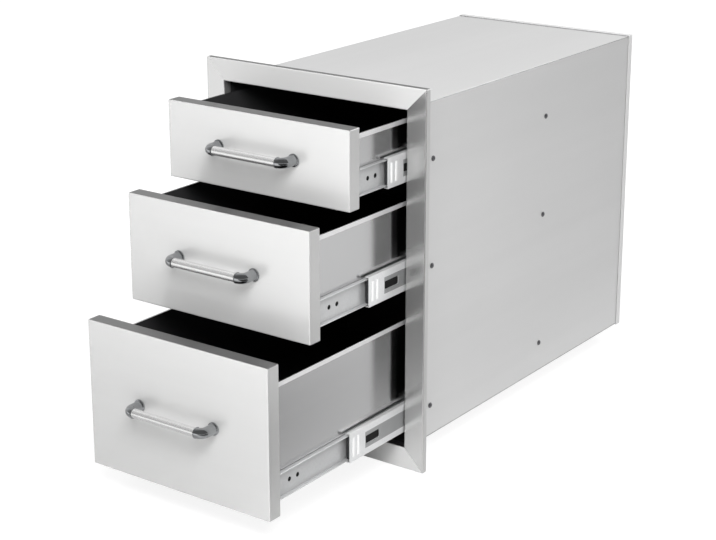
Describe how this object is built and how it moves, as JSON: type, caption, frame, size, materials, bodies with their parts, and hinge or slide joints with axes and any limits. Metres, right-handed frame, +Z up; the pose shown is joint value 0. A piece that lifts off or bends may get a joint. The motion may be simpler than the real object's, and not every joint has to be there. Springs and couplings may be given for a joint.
{
  "type": "outdoor kitchen drawer unit",
  "caption": "Built-in stainless steel drawer unit for an outdoor kitchen island: flanged face frame, deep box behind it and stacked drawers on ball-bearing slides with bar handles.",
  "frame": {"origin": "middle of the rear face of the face frame's lower lip, on the plane that lies against the island", "axes": "+Y from the front into the island and out of that lip face, +X to the right seen from in front, +Z up; the drawers open towards -Y"},
  "size_m": [0.3556, 0.9073, 0.5156],
  "materials": {
    "brushed_front": "stainless sheet brushed along each piece",
    "box_sheet": "dull mill finish outside",
    "tray_sheet": "satin stainless sheet",
    "slide_steel": "bright zinc-plated strip",
    "handle_bar": "satin, brushed along the bar",
    "chrome_trim": "polished",
    "cage_plastic": "moulded ball cage"
  },
  "bodies": {
    "cabinet": {"face_frame": "brushed_front", "top_panel": "box_sheet", "bottom_panel": "box_sheet", "back_panel": "box_sheet", "left_side_panel": "box_sheet", "right_side_panel": "box_sheet", "top_left_cabinet_slide": "slide_steel", "top_right_cabinet_slide": "slide_steel", "middle_left_cabinet_slide": "slide_steel", "middle_right_cabinet_slide": "slide_steel", "bottom_left_cabinet_slide": "slide_steel", "bottom_right_cabinet_slide": "slide_steel"},
    "top_drawer": {"top_tray": "tray_sheet", "top_tray_back": "tray_sheet", "top_front": "brushed_front", "top_front_liner": "tray_sheet", "top_handle_bar": "handle_bar", "top_left_handle_post": "chrome_trim", "top_left_drawer_slide": "slide_steel", "top_right_handle_post": "chrome_trim", "top_right_drawer_slide": "slide_steel"},
    "top_middle_slides": {"top_left_middle_slide": "slide_steel", "top_right_middle_slide": "slide_steel"},
    "top_outer_cages": {"top_left_outer_cage": "cage_plastic", "top_right_outer_cage": "cage_plastic"},
    "top_inner_cages": {"top_left_inner_cage": "cage_plastic", "top_right_inner_cage": "cage_plastic"},
    "middle_drawer": {"middle_tray": "tray_sheet", "middle_tray_back": "tray_sheet", "middle_front": "brushed_front", "middle_front_liner": "tray_sheet", "middle_handle_bar": "handle_bar", "middle_left_handle_post": "chrome_trim", "middle_left_drawer_slide": "slide_steel", "middle_right_handle_post": "chrome_trim", "middle_right_drawer_slide": "slide_steel"},
    "middle_middle_slides": {"middle_left_middle_slide": "slide_steel", "middle_right_middle_slide": "slide_steel"},
    "middle_outer_cages": {"middle_left_outer_cage": "cage_plastic", "middle_right_outer_cage": "cage_plastic"},
    "middle_inner_cages": {"middle_left_inner_cage": "cage_plastic", "middle_right_inner_cage": "cage_plastic"},
    "bottom_drawer": {"bottom_tray": "tray_sheet", "bottom_tray_back": "tray_sheet", "bottom_front": "brushed_front", "bottom_front_liner": "tray_sheet", "bottom_handle_bar": "handle_bar", "bottom_left_handle_post": "chrome_trim", "bottom_left_drawer_slide": "slide_steel", "bottom_right_handle_post": "chrome_trim", "bottom_right_drawer_slide": "slide_steel"},
    "bottom_middle_slides": {"bottom_left_middle_slide": "slide_steel", "bottom_right_middle_slide": "slide_steel"},
    "bottom_outer_cages": {"bottom_left_outer_cage": "cage_plastic", "bottom_right_outer_cage": "cage_plastic"},
    "bottom_inner_cages": {"bottom_left_inner_cage": "cage_plastic", "bottom_right_inner_cage": "cage_plastic"}
  },
  "joints": [
    {"name": "top_drawer_travel", "type": "slide", "parent": "cabinet", "child": "top_drawer", "axis": [0, -1, 0], "range_m": [-0.116, 0.384]},
    {"name": "top_middle_slides_travel", "type": "slide", "parent": "cabinet", "child": "top_middle_slides", "axis": [0, -1, 0], "range_m": [-0.0581, 0.1921]},
    {"name": "top_outer_cages_travel", "type": "slide", "parent": "cabinet", "child": "top_outer_cages", "axis": [0, -1, 0], "range_m": [-0.0291, 0.0961]},
    {"name": "top_inner_cages_travel", "type": "slide", "parent": "cabinet", "child": "top_inner_cages", "axis": [0, -1, 0], "range_m": [-0.0871, 0.2881]},
    {"name": "middle_drawer_travel", "type": "slide", "parent": "cabinet", "child": "middle_drawer", "axis": [0, -1, 0], "range_m": [-0.1965, 0.3035]},
    {"name": "middle_middle_slides_travel", "type": "slide", "parent": "cabinet", "child": "middle_middle_slides", "axis": [0, -1, 0], "range_m": [-0.09835, 0.15185]},
    {"name": "middle_outer_cages_travel", "type": "slide", "parent": "cabinet", "child": "middle_outer_cages", "axis": [0, -1, 0], "range_m": [-0.04923, 0.07598]},
    {"name": "middle_inner_cages_travel", "type": "slide", "parent": "cabinet", "child": "middle_inner_cages", "axis": [0, -1, 0], "range_m": [-0.14747, 0.22772]},
    {"name": "bottom_drawer_travel", "type": "slide", "parent": "cabinet", "child": "bottom_drawer", "axis": [0, -1, 0], "range_m": [-0.278, 0.222]},
    {"name": "bottom_middle_slides_travel", "type": "slide", "parent": "cabinet", "child": "bottom_middle_slides", "axis": [0, -1, 0], "range_m": [-0.1391, 0.1111]},
    {"name": "bottom_outer_cages_travel", "type": "slide", "parent": "cabinet", "child": "bottom_outer_cages", "axis": [0, -1, 0], "range_m": [-0.0696, 0.0556]},
    {"name": "bottom_inner_cages_travel", "type": "slide", "parent": "cabinet", "child": "bottom_inner_cages", "axis": [0, -1, 0], "range_m": [-0.2086, 0.1666]}
  ],
  "couplings": [
    {"joint": "top_middle_slides_travel", "follows": "top_drawer_travel", "ratio": 0.5},
    {"joint": "top_outer_cages_travel", "follows": "top_drawer_travel", "ratio": 0.25},
    {"joint": "top_inner_cages_travel", "follows": "top_drawer_travel", "ratio": 0.75},
    {"joint": "middle_middle_slides_travel", "follows": "middle_drawer_travel", "ratio": 0.5},
    {"joint": "middle_outer_cages_travel", "follows": "middle_drawer_travel", "ratio": 0.25},
    {"joint": "middle_inner_cages_travel", "follows": "middle_drawer_travel", "ratio": 0.75},
    {"joint": "bottom_middle_slides_travel", "follows": "bottom_drawer_travel", "ratio": 0.5},
    {"joint": "bottom_outer_cages_travel", "follows": "bottom_drawer_travel", "ratio": 0.25},
    {"joint": "bottom_inner_cages_travel", "follows": "bottom_drawer_travel", "ratio": 0.75}
  ]
}
